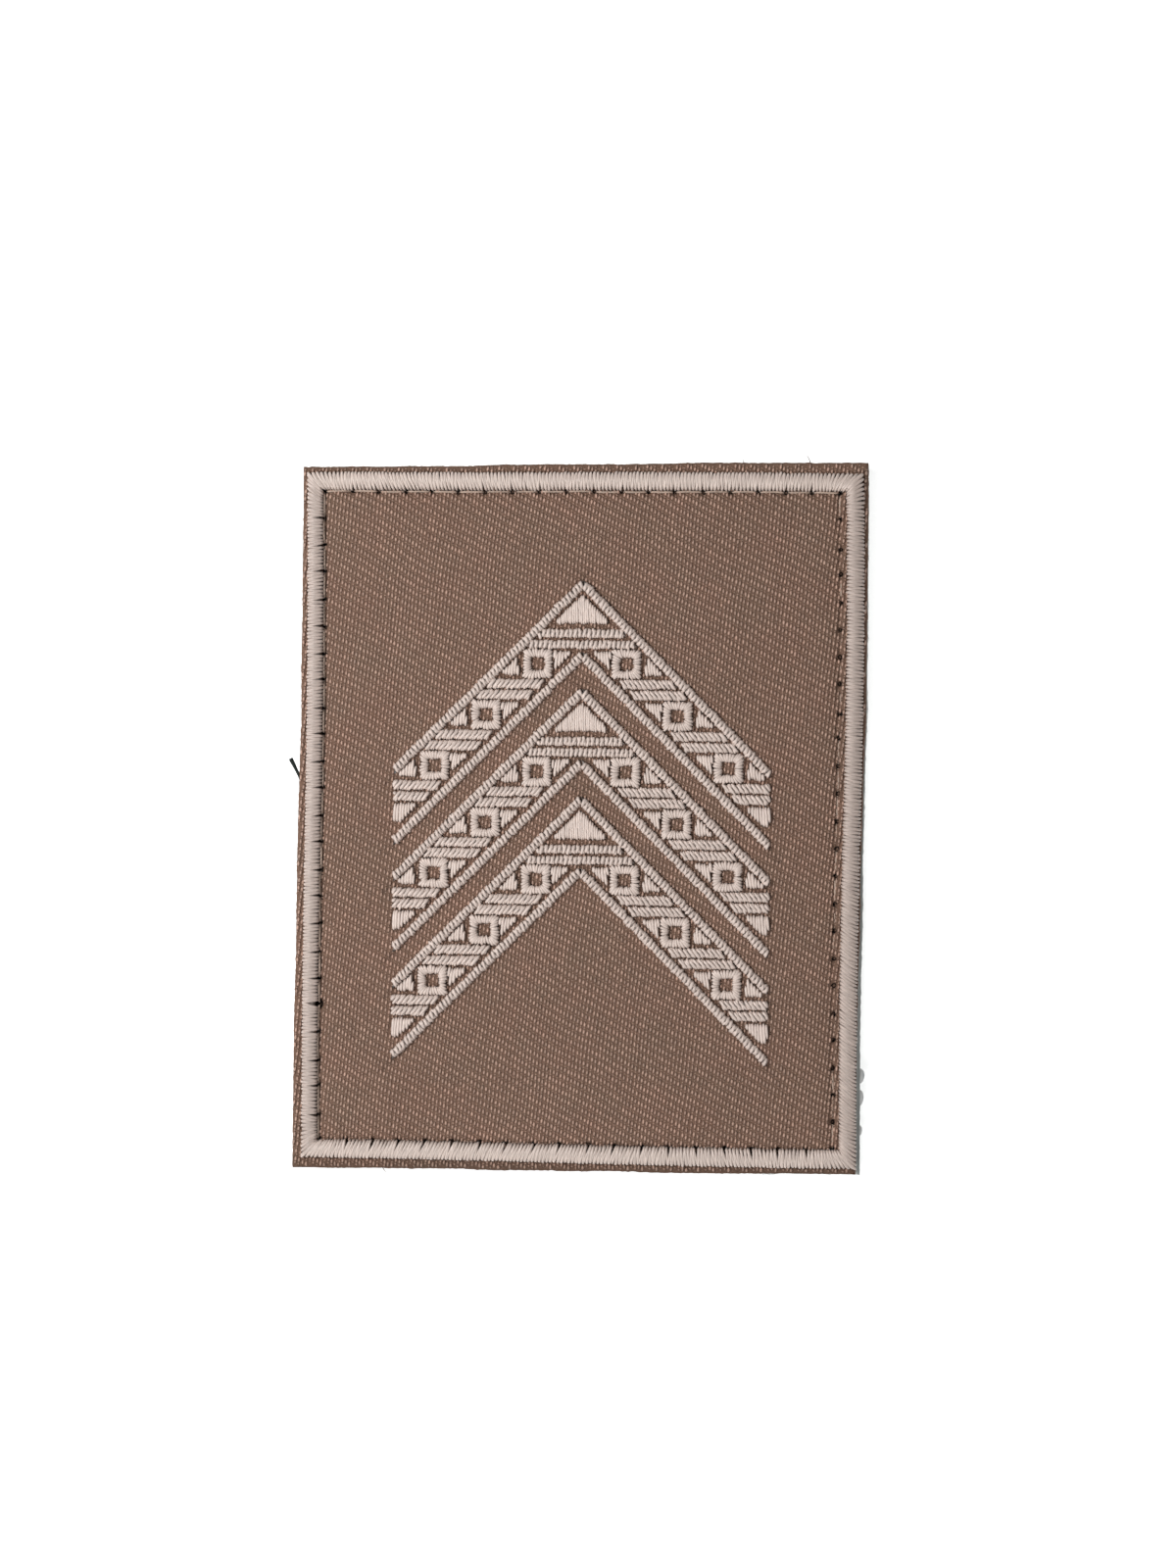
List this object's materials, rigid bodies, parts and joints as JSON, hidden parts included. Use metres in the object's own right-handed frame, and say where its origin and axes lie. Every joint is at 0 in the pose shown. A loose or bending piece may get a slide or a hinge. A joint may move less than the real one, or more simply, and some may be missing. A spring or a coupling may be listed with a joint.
{
  "type": "rank patch",
  "caption": "Rectangular twill rank patch with a satin-stitched border and embroidered chevrons, sewn to hook fastener tape.",
  "frame": {"origin": "middle of the patch's box, seen from above, on the surface that the tips of the hooks rest on", "axes": "+Z out of the embroidered face, +Y towards the points of the chevrons along the patch's length, +X to the right as it is read"},
  "size_m": [0.0524, 0.0652, 0.003],
  "materials": {
    "brown_twill": "matt polyester twill with a slight sheen, greyish brown",
    "beige_thread": "silky polyester embroidery thread, pinkish beige",
    "hook_tape": "pale grey nylon hook tape, slightly translucent"
  },
  "bodies": {
    "root": {"hook_backing": "hook_tape", "twill_ground": "brown_twill", "border_bottom": "beige_thread", "border_right": "beige_thread", "border_top": "beige_thread", "border_left": "beige_thread", "top_tip_triangle": "beige_thread", "top_tip_bar_upper": "beige_thread", "top_tip_bar_lower": "beige_thread", "middle_tip_triangle": "beige_thread", "middle_tip_bar_upper": "beige_thread", "middle_tip_bar_lower": "beige_thread", "bottom_tip_triangle": "beige_thread", "bottom_tip_bar_upper": "beige_thread", "bottom_tip_bar_lower": "beige_thread", "top_left_outer_rail": "beige_thread", "top_left_inner_rail": "beige_thread", "top_left_squares": "beige_thread", "top_left_outer_triangles": "beige_thread", "top_left_inner_triangles": "beige_thread", "top_left_bars": "beige_thread", "top_left_end_triangle": "beige_thread", "top_right_outer_rail": "beige_thread", "top_right_inner_rail": "beige_thread", "top_right_squares": "beige_thread", "top_right_outer_triangles": "beige_thread", "top_right_inner_triangles": "beige_thread", "top_right_bars": "beige_thread", "top_right_end_triangle": "beige_thread", "middle_left_outer_rail": "beige_thread", "middle_left_inner_rail": "beige_thread", "middle_left_squares": "beige_thread", "middle_left_outer_triangles": "beige_thread", "middle_left_inner_triangles": "beige_thread", "middle_left_bars": "beige_thread", "middle_left_end_triangle": "beige_thread", "middle_right_outer_rail": "beige_thread", "middle_right_inner_rail": "beige_thread", "middle_right_squares": "beige_thread", "middle_right_outer_triangles": "beige_thread", "middle_right_inner_triangles": "beige_thread", "middle_right_bars": "beige_thread", "middle_right_end_triangle": "beige_thread", "bottom_left_outer_rail": "beige_thread", "bottom_left_inner_rail": "beige_thread", "bottom_left_squares": "beige_thread", "bottom_left_outer_triangles": "beige_thread", "bottom_left_inner_triangles": "beige_thread", "bottom_left_bars": "beige_thread", "bottom_left_end_triangle": "beige_thread", "bottom_right_outer_rail": "beige_thread", "bottom_right_inner_rail": "beige_thread", "bottom_right_squares": "beige_thread", "bottom_right_outer_triangles": "beige_thread", "bottom_right_inner_triangles": "beige_thread", "bottom_right_bars": "beige_thread", "bottom_right_end_triangle": "beige_thread"}
  },
  "joints": []
}
